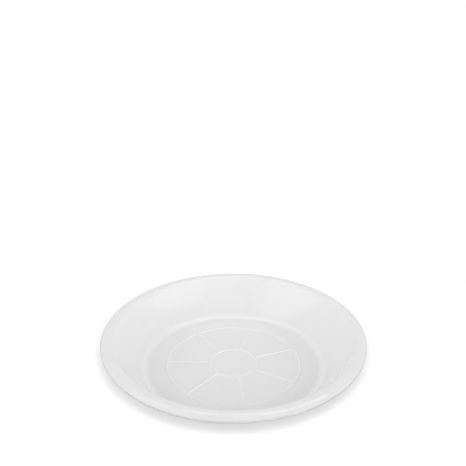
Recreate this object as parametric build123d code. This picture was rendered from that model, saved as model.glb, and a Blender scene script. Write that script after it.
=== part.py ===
from build123d import *
import math
import os

# Plant saucer: one shallow round dish, moulded in one piece.
# Millimetres, +Z up. The origin is the centre of the circle on which the dish rests.

# Overall sizes
rim_radius = 100.0            # outermost edge of the rolled rim
overall_height = 30.0         # resting plane to the crest of the rim
skin = 1.6                    # plastic thickness of floor, wall and rim

# Floor and the foot ring under it
floor_radius = 64.6           # where the floor starts to turn up into the wall
floor_dome = 1.45             # rise of the floor from its edge to its centre
foot_height = 0.8             # foot ring, below the lowest point of the floor
foot_inset = 1.6              # from the edge of the floor in to the middle of the foot ring
foot_width = 2.4
foot_corner = 0.4             # rounding of the foot ring's lower corners

# Wall
floor_fillet = 9.0            # inside radius between floor and wall
wall_bow = 0.5                # how far the wall sags inside its straight line

# Rolled rim
rim_width = 6.5               # crest of the rim to its outermost edge
crest_inner_radius = 3.4      # underside radius where the wall turns over into the rim
channel_rise = 1.0            # hollow under the rim, above the widest level
curl_inner_radius = 1.5       # inside radius of the rim's down-turned edge
curl_angle = 50.0             # degrees that the edge curls in below the widest level
lip_radius = 0.45             # bead along the rim's lower edge

# Raised ribs on the floor
hub_ring_radius = 18.1
outer_ring_radius = 51.4
ring_rib_width = 1.2
ring_rib_height = 0.5
spoke_count = 7
spoke_rib_width = 1.2
spoke_rib_height = 0.45
first_spoke_angle = 177.27    # degrees from +X

# Moulding mark at the middle of the floor
gate_mark_radius = 1.3
gate_mark_height = 0.2

# Foot ring, and how deep it and the gate mark are let into the floor
foot_radius = floor_radius - foot_inset
root_depth = skin / 2

# Floor dome, as a ball of plastic with its centre far below
dome_ball_radius = (floor_radius**2 + floor_dome**2) / (2 * floor_dome)
dome_edge_slope = math.degrees(math.asin(floor_radius / dome_ball_radius))

# Centre of the fillet between floor and wall
fillet_r = floor_radius + floor_fillet * math.sin(math.radians(dome_edge_slope))
fillet_z = foot_height + skin + floor_fillet

# Top of the floor at its edge, and the ball's centre below it
floor_edge_z = fillet_z - floor_fillet * math.cos(math.radians(dome_edge_slope))
dome_centre_z = floor_edge_z + floor_dome - dome_ball_radius

# Rolled rim, worked out from the skin
crest_r = rim_radius - rim_width
crest_roll = skin + crest_inner_radius
crest_centre_z = overall_height - crest_roll
rim_drop = skin + channel_rise
widest_z = overall_height - rim_drop
curl_radius = skin + curl_inner_radius
curl_r = rim_radius - curl_radius

# Slope of the straight line that touches the fillet circle and the crest circle
across = crest_r - fillet_r
rise = crest_centre_z - fillet_z
touch_angle = math.asin((floor_fillet + crest_roll) / math.hypot(across, rise))
wall_slope = math.degrees(math.atan2(rise, across) + touch_angle)
wall_length = math.hypot(across, rise) * math.cos(touch_angle)
bow_angle = math.degrees(math.atan2(4 * wall_bow, wall_length))
low_slope = wall_slope - bow_angle
high_slope = wall_slope + bow_angle


def on_circle(centre_r, centre_z, radius, degrees):
    turn = math.radians(degrees)
    return (centre_r + radius * math.cos(turn), centre_z + radius * math.sin(turn))


def direction(degrees):
    turn = math.radians(degrees)
    return (math.cos(turn), math.sin(turn))


def dome_z(radius):
    return dome_centre_z + math.sqrt(dome_ball_radius**2 - radius**2)


def wall_curve(thickness):
    # The wall's inner face, or its outer face one skin behind it
    start = on_circle(fillet_r, fillet_z, floor_fillet + thickness, low_slope - 90)
    end = on_circle(crest_r, crest_centre_z, crest_roll - thickness, high_slope + 90)
    return Spline(start, end, tangents=(direction(low_slope), direction(high_slope)))


def floor_and_fillet(thickness):
    # The floor from its centre to its edge, then the turn up to the wall
    ball = dome_ball_radius - thickness
    floor = CenterArc((0, dome_centre_z), ball, 90, -dome_edge_slope)
    turn_up = CenterArc((fillet_r, fillet_z), floor_fillet + thickness,
                        -90 - dome_edge_slope, dome_edge_slope + low_slope)
    return [floor, turn_up]


def rim_curve(thickness):
    # Over the crest, out to the widest level and down round the curled edge
    over_crest = CenterArc((crest_r, crest_centre_z), crest_roll - thickness,
                           90 + high_slope, -high_slope)
    shoulder = EllipticalCenterArc((crest_r, widest_z), rim_width - thickness,
                                   rim_drop - thickness, start_angle=0, arc_size=90)
    curl = CenterArc((curl_r, widest_z), curl_radius - thickness, 0, -curl_angle)
    return [over_crest, shoulder, curl]


def dish_section():
    edge_top = on_circle(curl_r, widest_z, curl_radius, -curl_angle)
    edge_under = on_circle(curl_r, widest_z, curl_radius - skin, -curl_angle)
    axis_top = (0, dome_centre_z + dome_ball_radius)
    axis_under = (0, dome_centre_z + dome_ball_radius - skin)
    top = floor_and_fillet(0) + [wall_curve(0)] + rim_curve(0)
    under = floor_and_fillet(skin) + [wall_curve(skin)] + rim_curve(skin)
    ends = [Line(edge_top, edge_under), Line(axis_under, axis_top)]
    return make_face(top + under + ends)


def lip_section():
    lip_r, lip_z = on_circle(curl_r, widest_z, curl_radius - lip_radius / 2, -curl_angle)
    return Pos(lip_r, lip_z) * Circle(lip_radius)


def foot_section():
    # Rounded below, and let into the floor above
    top_z = foot_height + root_depth
    block = Pos(foot_radius, top_z / 2) * Rectangle(foot_width, top_z)
    return fillet(block.vertices().group_by(Axis.Y)[0], foot_corner)


def dish():
    section = dish_section() + lip_section() + foot_section()
    return revolve(Plane.XZ * section, Axis.Z)


def ring_rib(radius):
    # The lower half of the oval lies inside the floor
    oval = Pos(radius, dome_z(radius)) * Ellipse(ring_rib_width / 2, ring_rib_height)
    return revolve(Plane.XZ * oval, Axis.Z)


def spoke_rib():
    # Follows the dome from the hub ring to the outer ring, along +X
    hub_angle = math.degrees(math.acos(hub_ring_radius / dome_ball_radius))
    ring_angle = math.degrees(math.acos(outer_ring_radius / dome_ball_radius))
    ridge = CenterArc((0, dome_centre_z), dome_ball_radius, hub_angle, ring_angle - hub_angle)
    path = Plane.XZ * ridge
    across_path = Plane(path @ 0, x_dir=(0, 1, 0), z_dir=path % 0)
    return sweep(across_path * Ellipse(spoke_rib_width / 2, spoke_rib_height), path)


def spokes():
    spoke = spoke_rib()
    turn = 360 / spoke_count
    return [Rot(0, 0, first_spoke_angle - turn * number) * spoke for number in range(spoke_count)]


def gate_mark():
    # A low round button with a softened edge, let into the floor
    on_its_base = (Align.CENTER, Align.CENTER, Align.MIN)
    button = Cylinder(gate_mark_radius, root_depth + gate_mark_height, align=on_its_base)
    softened = fillet(button.edges().group_by(Axis.Z)[-1], gate_mark_height / 2)
    return Pos(0, 0, dome_z(0) - root_depth) * softened


def ribs():
    return ring_rib(hub_ring_radius) + [ring_rib(outer_ring_radius), *spokes()]


saucer = dish() + ribs() + gate_mark()

os.makedirs("parts", exist_ok=True)
export_step(saucer, "parts/saucer.step")

print("wall slope", round(wall_slope, 2), "degrees, from", round(low_slope, 2), "to", round(high_slope, 2))
print("floor top at its edge", round(floor_edge_z, 3))
print("floor top at the outer ring", round(dome_z(outer_ring_radius), 3))
print("top of the hub ring", round(dome_z(hub_ring_radius) + ring_rib_height, 3))
print("solids", len(saucer.solids()), "volume", round(saucer.volume, 1))
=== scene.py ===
import math

import bmesh
import bpy
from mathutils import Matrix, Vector


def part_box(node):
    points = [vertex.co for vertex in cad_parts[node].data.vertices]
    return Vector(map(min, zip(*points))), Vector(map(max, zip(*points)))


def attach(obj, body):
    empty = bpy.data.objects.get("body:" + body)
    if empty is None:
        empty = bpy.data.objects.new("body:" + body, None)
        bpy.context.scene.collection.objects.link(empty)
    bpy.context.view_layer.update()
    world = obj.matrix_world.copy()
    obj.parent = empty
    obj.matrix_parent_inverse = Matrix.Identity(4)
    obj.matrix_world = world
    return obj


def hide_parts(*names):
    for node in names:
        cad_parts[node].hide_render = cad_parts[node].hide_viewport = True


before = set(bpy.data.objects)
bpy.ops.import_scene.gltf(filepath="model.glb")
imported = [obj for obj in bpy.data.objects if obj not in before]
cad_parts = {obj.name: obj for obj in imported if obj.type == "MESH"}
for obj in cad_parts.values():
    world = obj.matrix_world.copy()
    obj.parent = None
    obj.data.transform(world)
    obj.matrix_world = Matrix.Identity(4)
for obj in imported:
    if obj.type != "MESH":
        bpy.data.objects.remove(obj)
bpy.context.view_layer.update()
print("frame loaded")

# All lengths are metres, and all angles in the settings are degrees.
lowCorner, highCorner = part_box("saucer")
rimRadius = highCorner[0]
dishHeight = highCorner[2]

# The moulding, in the same sizes as the model in the frame
dish = {
    "skin": 0.0016,
    "floorRadius": 0.0646,
    "floorDome": 0.00145,
    "footHeight": 0.0008,
    "footInset": 0.0016,         # edge of the floor in to the middle of the foot ring
    "footWidth": 0.0024,
    "footCorner": 0.0004,
    "floorFillet": 0.009,
    "wallBow": 0.0005,
    "rimWidth": 0.0065,          # crest of the rim to its outermost edge
    "crestInnerRadius": 0.0034,
    "channelRise": 0.001,
    "curlInnerRadius": 0.0015,
    "curlAngle": 50,
    "lipRadius": 0.00045,
    "lipStart": 40,              # the bead's two ends, measured from the end of the curl
    "lipEnd": -200,
}

# Raised ribs on the floor, and the dot left by the mould's gate
ribs = {
    "hubRadius": 0.0181,
    "outerRadius": 0.0514,
    "ringHeight": 0.0005,
    "spokeHeight": 0.00045,
    "halfWidth": 0.0012,         # middle of a rib to where it has faded into the floor
    "spokes": 7,
    "firstSpoke": 177.27,
    "gateRadius": 0.0013,
    "gateHeight": 0.0002,
    "gateEdge": 0.0004,          # width of the gate mark's soft edge
    "gateHighlightShare": 0.3,        # how much of its height counts in the painted highlight
}

# How finely the moulding is cut up
mesh = {
    "columnsPerSector": 36,      # a sector is the floor from one spoke to the next
    "ribColumns": 6,             # columns that follow a spoke, on each side of its middle
    "ribStep": 0.00023,          # spacing of rows and columns across a rib
    "gateRows": 4,               # rows across the gate mark's soft edge
    "gateInnerShare": 0.5,       # the one row inside that edge
    "floorStep": 0.0028,
    "arcStep": 5.0,              # degrees between the points of an arc
    "footStep": 18,              # the same for the foot ring's corners
    "lipStep": 20,               # and for the bead
    "wallSteps": 16,
    "blendRadius": 0.060,        # from here out the columns are even again
    "mergeDistance": 1e-7,
}


def onCircle(centre, radius, degrees):
    turn = math.radians(degrees)
    return (centre[0] + radius * math.cos(turn), centre[1] + radius * math.sin(turn))


def arcPoints(centre, radiusR, radiusZ, startDegrees, endDegrees, arcStep=mesh["arcStep"]):
    # Points of a round or oval arc, as radius and height
    steps = max(2, math.ceil(abs(endDegrees - startDegrees) / arcStep))
    points = []
    for step in range(steps + 1):
        turn = math.radians(startDegrees + (endDegrees - startDegrees) * step / steps)
        points.append((centre[0] + radiusR * math.cos(turn), centre[1] + radiusZ * math.sin(turn)))
    return points


def smoothStep(value):
    value = min(max(value, 0), 1)
    return value * value * (3 - 2 * value)


# The same centres and slopes as the model in the frame
domeBall = (dish["floorRadius"] ** 2 + dish["floorDome"] ** 2) / (2 * dish["floorDome"])
edgeSlope = math.degrees(math.asin(dish["floorRadius"] / domeBall))
filletCentre = (
    dish["floorRadius"] + dish["floorFillet"] * math.sin(math.radians(edgeSlope)),
    dish["footHeight"] + dish["skin"] + dish["floorFillet"],
)
floorEdge = filletCentre[1] - dish["floorFillet"] * math.cos(math.radians(edgeSlope))
domeCentre = floorEdge + dish["floorDome"] - domeBall
crestRoll = dish["skin"] + dish["crestInnerRadius"]
crestCentre = (rimRadius - dish["rimWidth"], dishHeight - crestRoll)
widest = dishHeight - dish["skin"] - dish["channelRise"]
curlRadius = dish["skin"] + dish["curlInnerRadius"]
curlCentre = (rimRadius - curlRadius, widest)
across = crestCentre[0] - filletCentre[0]
rise = crestCentre[1] - filletCentre[1]
apart = math.hypot(across, rise)
touchAngle = math.asin((dish["floorFillet"] + crestRoll) / apart)
wallSlope = math.degrees(math.atan2(rise, across) + touchAngle)
bowAngle = math.degrees(math.atan2(4 * dish["wallBow"], apart * math.cos(touchAngle)))
lowSlope = wallSlope - bowAngle
highSlope = wallSlope + bowAngle


def floorTop(radius):
    return domeCentre + math.sqrt(domeBall ** 2 - radius ** 2)


def floorRadii():
    # Close rows across each ring and the gate mark, wider ones between
    radii = [0, ribs["gateRadius"] * mesh["gateInnerShare"]]
    for row in range(mesh["gateRows"] + 1):
        radii.append(ribs["gateRadius"] - ribs["gateEdge"] * (1 - 2 * row / mesh["gateRows"]))
    close = [mesh["ribStep"] * step for step in range(-mesh["ribColumns"], mesh["ribColumns"] + 1)]
    for ring in (ribs["hubRadius"], ribs["outerRadius"]):
        firstRow = ring + close[0]
        gap = firstRow - radii[-1]
        rows = math.ceil(gap / mesh["floorStep"])
        start = radii[-1]
        radii += [start + gap * row / rows for row in range(1, rows)]
        radii += [ring + offset for offset in close]
    start = radii[-1]
    gap = dish["floorRadius"] - start
    rows = math.ceil(gap / mesh["floorStep"])
    return radii + [start + gap * row / rows for row in range(1, rows)]


def wallPoints(thickness):
    # Inner face of the wall, or its outer face one skin behind it
    start = Vector(onCircle(filletCentre, dish["floorFillet"] + thickness, lowSlope - 90))
    end = Vector(onCircle(crestCentre, crestRoll - thickness, highSlope + 90))
    reach = (end - start).length / 3
    startHandle = start + reach * Vector(onCircle((0, 0), 1, lowSlope))
    endHandle = end - reach * Vector(onCircle((0, 0), 1, highSlope))
    points = []
    for step in range(1, mesh["wallSteps"]):
        t = step / mesh["wallSteps"]
        point = (start * (1 - t) ** 3 + startHandle * 3 * t * (1 - t) ** 2
                 + endHandle * 3 * t * t * (1 - t) + end * t ** 3)
        points.append(tuple(point))
    return points


def facePoints(thickness):
    # From the edge of the floor over the wall and the rim to the end of the curl
    points = arcPoints(filletCentre, dish["floorFillet"] + thickness, dish["floorFillet"] + thickness,
                       -90 - edgeSlope, lowSlope - 90)
    points += wallPoints(thickness)
    points += arcPoints(crestCentre, crestRoll - thickness, crestRoll - thickness, 90 + highSlope, 90)
    points += arcPoints((crestCentre[0], widest), dish["rimWidth"] - thickness,
                        dishHeight - widest - thickness, 90, 0)[1:]
    points += arcPoints(curlCentre, curlRadius - thickness, curlRadius - thickness,
                        0, -dish["curlAngle"])[1:]
    return points


def lipPoints():
    # The bead round the end of the curl, from its outer side to its inner side
    radius = dish["lipRadius"]
    centre = onCircle(curlCentre, curlRadius - radius / 2, -dish["curlAngle"])
    return arcPoints(centre, radius, radius, dish["lipStart"] - dish["curlAngle"],
                     dish["lipEnd"] - dish["curlAngle"], mesh["lipStep"])


def footPoints():
    # Under the floor from its edge to the axis, round the foot ring
    corner = dish["footCorner"]
    step = mesh["footStep"]
    middle = dish["floorRadius"] - dish["footInset"]
    outer = middle + dish["footWidth"] / 2
    inner = middle - dish["footWidth"] / 2
    points = [(outer, floorTop(outer) - dish["skin"])]
    points += arcPoints((outer - corner, corner), corner, corner, 0, -90, step)
    points += arcPoints((inner + corner, corner), corner, corner, -90, -180, step)
    rows = math.ceil(inner / mesh["floorStep"])
    for row in range(rows + 1):
        radius = inner * (1 - row / rows)
        points.append((radius, floorTop(radius) - dish["skin"]))
    return points


def dishOutline():
    # Half a section: along the top from the axis to the rim, and back underneath
    outline = [(radius, floorTop(radius)) for radius in floorRadii()]
    outline += facePoints(0) + lipPoints()
    outline += facePoints(dish["skin"])[::-1] + footPoints()
    return outline


def ribRise(distance, height):
    # A rounded rib that fades into the floor on both sides
    if distance >= ribs["halfWidth"]:
        return 0
    return height * (1 + math.cos(math.pi * distance / ribs["halfWidth"])) / 2


def columnAngle(column, radius):
    # Columns near a spoke keep their distance from it in metres, and the rest share what is left
    sector = 2 * math.pi / ribs["spokes"]
    half = mesh["columnsPerSector"] // 2
    even = sector * column / mesh["columnsPerSector"]
    nearest = round(column / mesh["columnsPerSector"])
    offset = column - nearest * mesh["columnsPerSector"]
    side = math.copysign(1, offset)
    offset = abs(offset)
    follow = min(max(radius, ribs["hubRadius"]), ribs["outerRadius"])
    stripEdge = mesh["ribColumns"] * mesh["ribStep"] / follow
    if offset <= mesh["ribColumns"]:
        turn = offset * mesh["ribStep"] / follow
    else:
        share = (offset - mesh["ribColumns"]) / (half - mesh["ribColumns"])
        turn = stripEdge + (sector / 2 - stripEdge) * share
    close = nearest * sector + side * turn
    fade = smoothStep((radius - ribs["outerRadius"]) / (mesh["blendRadius"] - ribs["outerRadius"]))
    return close + (even - close) * fade


def raiseRibs(shape):
    # Moves the floor's columns to the spokes and lifts the ribs and the gate mark out of it
    columns = mesh["columnsPerSector"] * ribs["spokes"]
    firstSpoke = math.radians(ribs["firstSpoke"])
    sector = 2 * math.pi / ribs["spokes"]
    raised = shape.verts.layers.float.new("raised")
    for vert in shape.verts:
        radius = math.hypot(vert.co.x, vert.co.y)
        if radius >= dish["floorRadius"] or vert.co.z < floorTop(radius) - dish["skin"] / 2:
            continue
        rises = [ribRise(abs(radius - ribs["hubRadius"]), ribs["ringHeight"]),
                 ribRise(abs(radius - ribs["outerRadius"]), ribs["ringHeight"])]
        edge = (ribs["gateRadius"] + ribs["gateEdge"] - radius) / (2 * ribs["gateEdge"])
        gateRise = ribs["gateHeight"] * smoothStep(edge)
        if radius > 0:
            bearing = math.atan2(vert.co.y, vert.co.x) - firstSpoke
            column = round(bearing * columns / (2 * math.pi))
            turn = columnAngle(column, radius)
            if ribs["hubRadius"] < radius < ribs["outerRadius"]:
                fromSpoke = abs(turn - round(turn / sector) * sector) * radius
                rises.append(ribRise(fromSpoke, ribs["spokeHeight"]))
            vert.co.x = radius * math.cos(turn + firstSpoke)
            vert.co.y = radius * math.sin(turn + firstSpoke)
        vert.co.z += max(gateRise, *rises)
        # The raised value masks the painted highlight that makes the ribs and the gate mark paler
        vert[raised] = max(gateRise * ribs["gateHighlightShare"], *rises) / ribs["ringHeight"]


def makeMoulding():
    # The section is drawn over the first spoke, so that floor and wall share their columns
    firstSpoke = math.radians(ribs["firstSpoke"])
    shape = bmesh.new()
    points = [shape.verts.new((radius * math.cos(firstSpoke), radius * math.sin(firstSpoke), height))
              for radius, height in dishOutline()]
    for start, end in zip(points, points[1:]):
        shape.edges.new((start, end))
    bmesh.ops.spin(shape, geom=shape.verts[:] + shape.edges[:], axis=(0, 0, 1), cent=(0, 0, 0),
                   angle=2 * math.pi, steps=mesh["columnsPerSector"] * ribs["spokes"], use_merge=True)
    bmesh.ops.remove_doubles(shape, verts=shape.verts, dist=mesh["mergeDistance"])
    bmesh.ops.recalc_face_normals(shape, faces=shape.faces)
    raiseRibs(shape)
    for face in shape.faces:
        face.smooth = True
    data = bpy.data.meshes.new("moulding")
    shape.to_mesh(data)
    shape.free()
    moulding = bpy.data.objects.new("moulding", data)
    bpy.context.scene.collection.objects.link(moulding)
    return moulding


moulding = makeMoulding()
print("moulding made,", len(moulding.data.polygons), "faces")

# Smooth white plastic with a soft gloss
plastic = {
    "plainColour": (0.8, 0.8, 0.8, 1),
    "highlightColour": (0.845, 0.845, 0.845, 1),   # painted highlight on the ribs, gate mark and turn-up band
    "flowColour": (0.785, 0.785, 0.785, 1),    # faint streaks where the plastic flowed out from the gate
    "flowShare": 0.35,
    "flowStreaks": 14,
    "flowScale": 9,
    "flowLow": 0.35,
    "flowHigh": 0.65,
    "ribHighlightShare": 0.65,
    "ribHighlightTop": 0.3,                        # share of a rib's height from which it takes the full painted highlight
    "turnUpStart": 0.0640,                     # band of painted highlight where the floor turns up into the wall
    "turnUpMiddle": 0.0681,
    "turnUpEnd": 0.0727,
    "smoothest": 0.09,
    "roughest": 0.13,
    "glossScale": 60,
    "glossLow": 0.3,
    "glossHigh": 0.7,
    "wornRoughness": 0.42,                     # the foot ring, rubbed dull by what it stands on
    "wornTop": 0.0009,
    "wornFade": 0.0006,
    "scuffScale": 420,
    "scuffDetail": 6,
    "scuffLow": 0.6,
    "scuffHigh": 0.75,
    "scuffRoughness": 0.06,
    "grainScale": 1500,
    "grainHeight": 0.000002,
    "waveScale": 75,
    "waveHeight": 0.00002,
    "ior": 1.46,
}


def newMaterial(name):
    material = bpy.data.materials.new(name)
    material.use_nodes = True
    return material, material.node_tree.nodes, material.node_tree.links


def addNoise(nodes, links, place, scale, detail=2):
    noise = nodes.new("ShaderNodeTexNoise")
    noise.inputs["Scale"].default_value = scale
    noise.inputs["Detail"].default_value = detail
    links.new(place, noise.inputs["Vector"])
    return noise.outputs["Fac"]


def addRange(nodes, links, value, fromMin, fromMax, toMin=0.0, toMax=1.0):
    ramp = nodes.new("ShaderNodeMapRange")
    ramp.interpolation_type = "SMOOTHSTEP"
    ends = {"From Min": fromMin, "From Max": fromMax, "To Min": toMin, "To Max": toMax}
    for name, number in ends.items():
        ramp.inputs[name].default_value = number
    links.new(value, ramp.inputs["Value"])
    return ramp.outputs["Result"]


def addMath(nodes, links, operation, first, second):
    step = nodes.new("ShaderNodeMath")
    step.operation = operation
    for socket, value in ((step.inputs[0], first), (step.inputs[1], second)):
        if isinstance(value, (int, float)):
            socket.default_value = value
        else:
            links.new(value, socket)
    return step.outputs["Value"]


def addMix(nodes, links, share, first, second):
    blend = nodes.new("ShaderNodeMix")
    blend.data_type = "RGBA"
    links.new(share, blend.inputs["Factor"])
    for socket, value in ((blend.inputs["A"], first), (blend.inputs["B"], second)):
        if isinstance(value, tuple):
            socket.default_value = value
        else:
            links.new(value, socket)
    return blend.outputs["Result"]


def makePlastic():
    material, nodes, links = newMaterial("whitePlastic")
    shader = nodes["Principled BSDF"]
    shader.inputs["IOR"].default_value = plastic["ior"]
    place = nodes.new("ShaderNodeTexCoord").outputs["Object"]
    split = nodes.new("ShaderNodeSeparateXYZ")
    links.new(place, split.inputs["Vector"])
    east, north, height = split.outputs

    # Distance from the axis, and the direction round it
    flat = nodes.new("ShaderNodeCombineXYZ")
    links.new(east, flat.inputs["X"])
    links.new(north, flat.inputs["Y"])
    reach = nodes.new("ShaderNodeVectorMath")
    reach.operation = "LENGTH"
    links.new(flat.outputs["Vector"], reach.inputs[0])
    radius = reach.outputs["Value"]
    bearing = nodes.new("ShaderNodeVectorMath")
    bearing.operation = "NORMALIZE"
    links.new(flat.outputs["Vector"], bearing.inputs[0])

    # Streaks that change quickly round the axis and slowly along the flow
    streakPlace = nodes.new("ShaderNodeVectorMath")
    streakPlace.operation = "MULTIPLY_ADD"
    links.new(bearing.outputs["Vector"], streakPlace.inputs[0])
    streakPlace.inputs[1].default_value = (plastic["flowStreaks"],) * 3
    slow = nodes.new("ShaderNodeVectorMath")
    slow.operation = "SCALE"
    slow.inputs["Scale"].default_value = plastic["flowScale"]
    links.new(place, slow.inputs[0])
    links.new(slow.outputs["Vector"], streakPlace.inputs[2])
    streakNoise = addNoise(nodes, links, streakPlace.outputs["Vector"], 1)
    streaks = addRange(nodes, links, streakNoise, plastic["flowLow"], plastic["flowHigh"])
    streakShare = addMath(nodes, links, "MULTIPLY", streaks, plastic["flowShare"])
    plainPlastic = addMix(nodes, links, streakShare, plastic["plainColour"], plastic["flowColour"])

    # Painted highlight: the ribs, the gate mark and the band where the floor turns up into the wall are
    # made paler
    raised = nodes.new("ShaderNodeAttribute")
    raised.attribute_name = "raised"
    bandIn = addRange(nodes, links, radius, plastic["turnUpStart"], plastic["turnUpMiddle"])
    bandOut = addRange(nodes, links, radius, plastic["turnUpMiddle"], plastic["turnUpEnd"], 1.0, 0.0)
    band = addMath(nodes, links, "MULTIPLY", bandIn, bandOut)
    onRib = addRange(nodes, links, raised.outputs["Fac"], 0.0, plastic["ribHighlightTop"],
                     0.0, plastic["ribHighlightShare"])
    paintedHighlight = addMath(nodes, links, "MAXIMUM", onRib, band)
    links.new(addMix(nodes, links, paintedHighlight, plainPlastic, plastic["highlightColour"]), shader.inputs["Base Color"])

    # Gloss: slow changes, tiny scuffs, and a dull worn foot
    glossNoise = addNoise(nodes, links, place, plastic["glossScale"])
    gloss = addRange(nodes, links, glossNoise, plastic["glossLow"], plastic["glossHigh"],
                     plastic["smoothest"], plastic["roughest"])
    scuffNoise = addNoise(nodes, links, place, plastic["scuffScale"], plastic["scuffDetail"])
    scuffs = addRange(nodes, links, scuffNoise, plastic["scuffLow"], plastic["scuffHigh"],
                      0.0, plastic["scuffRoughness"])
    scuffed = addMath(nodes, links, "ADD", gloss, scuffs)
    worn = addRange(nodes, links, height, plastic["wornTop"] - plastic["wornFade"], plastic["wornTop"],
                    plastic["wornRoughness"], 0.0)
    links.new(addMath(nodes, links, "MAXIMUM", scuffed, worn), shader.inputs["Roughness"])

    # Slight waves of the moulding, with a very fine grain over them
    waves = nodes.new("ShaderNodeBump")
    waves.inputs["Distance"].default_value = plastic["waveHeight"]
    links.new(addNoise(nodes, links, place, plastic["waveScale"]), waves.inputs["Height"])
    grain = nodes.new("ShaderNodeBump")
    grain.inputs["Distance"].default_value = plastic["grainHeight"]
    links.new(addNoise(nodes, links, place, plastic["grainScale"]), grain.inputs["Height"])
    links.new(waves.outputs["Normal"], grain.inputs["Normal"])
    links.new(grain.outputs["Normal"], shader.inputs["Normal"])
    return material


moulding.data.materials.append(makePlastic())
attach(moulding, "root")
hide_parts("saucer")
print("plastic made")

# White table: the camera sees it lit from within as well, so that only the shadow under the dish shows
table = {
    "radius": 0.25,
    "segments": 96,
    "bounceColour": (0.04, 0.04, 0.04, 1),
    "shownColour": (0.03, 0.03, 0.03, 1),
    "shownGlow": 0.703,
    "whiteStart": 0.125,         # from here out the table fades to plain white
    "whiteEnd": 0.165,
}

# Small lamp over the camera that lights the table alone, and throws the dish's shadow on it
tableLamp = {
    "place": (0.0077, -0.4306, 0.4322),
    "size": 0.187,
    "power": 59.7,
}


def makeTable():
    shape = bmesh.new()
    bmesh.ops.create_circle(shape, cap_ends=True, segments=table["segments"], radius=table["radius"])
    data = bpy.data.meshes.new("table")
    shape.to_mesh(data)
    shape.free()
    top = bpy.data.objects.new("table", data)
    bpy.context.scene.collection.objects.link(top)
    material, nodes, links = newMaterial("tableWhite")
    nodes.remove(nodes["Principled BSDF"])
    bounce = nodes.new("ShaderNodeBsdfDiffuse")
    bounce.inputs["Color"].default_value = table["bounceColour"]
    shown = nodes.new("ShaderNodeBsdfDiffuse")
    shown.inputs["Color"].default_value = table["shownColour"]
    glow = nodes.new("ShaderNodeEmission")
    reach = nodes.new("ShaderNodeVectorMath")
    reach.operation = "LENGTH"
    links.new(nodes.new("ShaderNodeTexCoord").outputs["Object"], reach.inputs[0])
    links.new(addRange(nodes, links, reach.outputs["Value"], table["whiteStart"], table["whiteEnd"],
                       table["shownGlow"], 1.0), glow.inputs["Strength"])
    both = nodes.new("ShaderNodeAddShader")
    links.new(shown.outputs["BSDF"], both.inputs[0])
    links.new(glow.outputs["Emission"], both.inputs[1])
    path = nodes.new("ShaderNodeLightPath")
    choose = nodes.new("ShaderNodeMixShader")
    links.new(path.outputs["Is Camera Ray"], choose.inputs["Fac"])
    links.new(bounce.outputs["BSDF"], choose.inputs[1])
    links.new(both.outputs["Shader"], choose.inputs[2])
    links.new(choose.outputs["Shader"], nodes["Material Output"].inputs["Surface"])
    data.materials.append(material)
    return top


def makeTableLamp(top):
    lamp = bpy.data.lights.new("tableLamp", "AREA")
    lamp.shape = "DISK"
    lamp.size = tableLamp["size"]
    lamp.energy = tableLamp["power"]
    source = bpy.data.objects.new("tableLamp", lamp)
    bpy.context.scene.collection.objects.link(source)
    source.location = tableLamp["place"]
    source.rotation_euler = Vector(tableLamp["place"]).to_track_quat("Z", "Y").to_euler()
    lit = bpy.data.collections.new("litByTableLamp")
    lit.objects.link(top)
    source.light_linking.receiver_collection = lit


makeTableLamp(makeTable())

# Studio light: softboxes round the table, and the light of the room, which is strongest near the horizon
roomLight = 0.745
softboxes = [
    {"name": "leftSoftbox", "azimuth": -64.5, "elevation": 26.5, "distance": 3.0, "roll": 30.0,
     "width": 3.0, "height": 1.8, "power": 24.5},
    {"name": "rightSoftbox", "azimuth": 70.5, "elevation": 23.3, "distance": 3.0, "roll": -24.8,
     "width": 3.9, "height": 1.53, "power": 28.8},
    {"name": "frontSoftbox", "azimuth": 3, "elevation": 53.3, "distance": 3.0, "roll": 0,
     "width": 3.3, "height": 2.4, "power": 11.0},
    {"name": "leftTopSoftbox", "azimuth": -105.9, "elevation": 60.9, "distance": 0.5, "roll": 0,
     "width": 0.215, "height": 0.215, "power": 0.2},
    {"name": "rightTopSoftbox", "azimuth": 119.9, "elevation": 67.2, "distance": 0.5, "roll": 0,
     "width": 0.15, "height": 0.225, "power": 0.255},
    {"name": "backTopSoftbox", "azimuth": 180, "elevation": 70.2, "distance": 0.5, "roll": 0,
     "width": 0.2, "height": 0.16, "power": 0.19},
]


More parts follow.
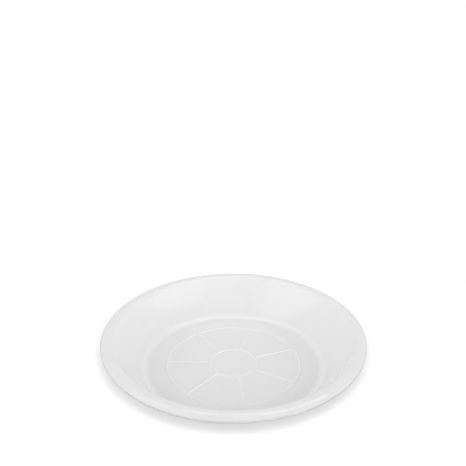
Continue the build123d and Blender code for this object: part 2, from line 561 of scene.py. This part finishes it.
def makeSoftbox(settings):
    lamp = bpy.data.lights.new(settings["name"], "AREA")
    lamp.shape = "RECTANGLE"
    lamp.size = settings["width"]
    lamp.size_y = settings["height"]
    lamp.energy = settings["power"]
    softbox = bpy.data.objects.new(settings["name"], lamp)
    bpy.context.scene.collection.objects.link(softbox)
    azimuth = math.radians(settings["azimuth"])      # 0 is the camera's side, 90 is +X
    elevation = math.radians(settings["elevation"])
    away = Vector((math.sin(azimuth) * math.cos(elevation), -math.cos(azimuth) * math.cos(elevation),
                   math.sin(elevation)))
    softbox.location = away * settings["distance"]
    softbox.rotation_euler = away.to_track_quat("Z", "Y").to_euler()
    softbox.rotation_euler.rotate_axis("Z", math.radians(settings["roll"]))


def makeRoom():
    world = bpy.data.worlds.new("room")
    bpy.context.scene.world = world
    world.use_nodes = True
    nodes, links = world.node_tree.nodes, world.node_tree.links
    light = nodes["Background"]
    light.inputs["Color"].default_value = (1, 1, 1, 1)
    level = nodes.new("ShaderNodeVectorMath")        # the level part of each direction
    level.operation = "MULTIPLY"
    level.inputs[1].default_value = (1, 1, 0)
    links.new(nodes.new("ShaderNodeTexCoord").outputs["Generated"], level.inputs[0])
    reach = nodes.new("ShaderNodeVectorMath")
    reach.operation = "LENGTH"
    links.new(level.outputs["Vector"], reach.inputs[0])
    strength = addMath(nodes, links, "MULTIPLY", reach.outputs["Value"], roomLight)
    links.new(strength, light.inputs["Strength"])
    white = nodes.new("ShaderNodeBackground")
    white.inputs["Color"].default_value = (1, 1, 1, 1)
    path = nodes.new("ShaderNodeLightPath")
    choose = nodes.new("ShaderNodeMixShader")
    links.new(path.outputs["Is Camera Ray"], choose.inputs["Fac"])
    links.new(light.outputs["Background"], choose.inputs[1])
    links.new(white.outputs["Background"], choose.inputs[2])
    links.new(choose.outputs["Shader"], nodes["World Output"].inputs["Surface"])


for settings in softboxes:
    makeSoftbox(settings)
makeRoom()
print("studio light made")

# Camera, from the shape of the rim and the rings in the photograph
view = {
    "lens": 59.17,
    "sensorWidth": 36.0,
    "nearest": 0.01,             # nothing closer than this is drawn
    "place": (-0.00035, -0.4932, 0.3449),
    "tiltDown": 25.07,
}


def makeCamera():
    data = bpy.data.cameras.new("camera")
    data.sensor_width = view["sensorWidth"]
    data.lens = view["lens"]
    data.clip_start = view["nearest"]
    camera = bpy.data.objects.new("camera", data)
    bpy.context.scene.collection.objects.link(camera)
    camera.location = view["place"]
    camera.rotation_euler = (math.radians(90 - view["tiltDown"]), 0, 0)
    bpy.context.scene.camera = camera


makeCamera()
bpy.context.scene.view_settings.view_transform = "Standard"
print("camera made")
